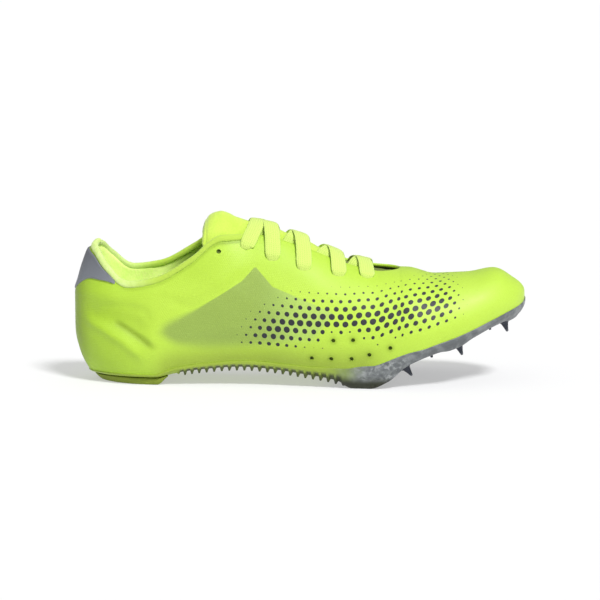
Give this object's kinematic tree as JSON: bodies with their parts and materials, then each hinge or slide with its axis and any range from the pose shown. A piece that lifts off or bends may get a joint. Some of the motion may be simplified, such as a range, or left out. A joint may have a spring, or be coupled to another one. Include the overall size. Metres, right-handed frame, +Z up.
{
  "type": "track spike shoe",
  "caption": "Low-cut track spike shoe for the right foot: thin hollow upper, tongue, crossed flat laces and a moulded plate with a sprung toe and spike pins.",
  "frame": {"origin": "bottom centre of the shoe's box, on the floor it stands on", "axes": "+X from heel to toe, +Y to the inner side of the foot, +Z up"},
  "size_m": [0.2815, 0.088, 0.1046],
  "materials": {
    "plate": "moulded plate, slate at the forefoot running to yellow-green at the midfoot",
    "heel_rubber": "dark olive rubber",
    "upper": "thin bright yellow-green coated textile, fine grain",
    "insole": "textile-covered foam",
    "heel_patch": "thin slate grey film",
    "tongue": "light textile",
    "lace": "flat woven lace, pale yellow",
    "spike": "dark steel"
  },
  "bodies": {
    "root": {"Sole_plate": "plate", "Heel_rubber": "heel_rubber", "Upper": "upper", "Insole": "insole", "Heel_patch": "heel_patch", "Tongue": "tongue", "Lace_crossing_1": "lace", "Lace_crossing_2": "lace", "Lace_crossing_3": "lace", "Lace_crossing_4": "lace", "Lace_top_bar": "lace", "Spike_pin_1": "spike", "Spike_pin_2": "spike", "Spike_pin_3": "spike", "Spike_pin_4": "spike", "Spike_pin_5": "spike", "Spike_pin_6": "spike", "Spike_pin_7": "spike"}
  },
  "joints": []
}
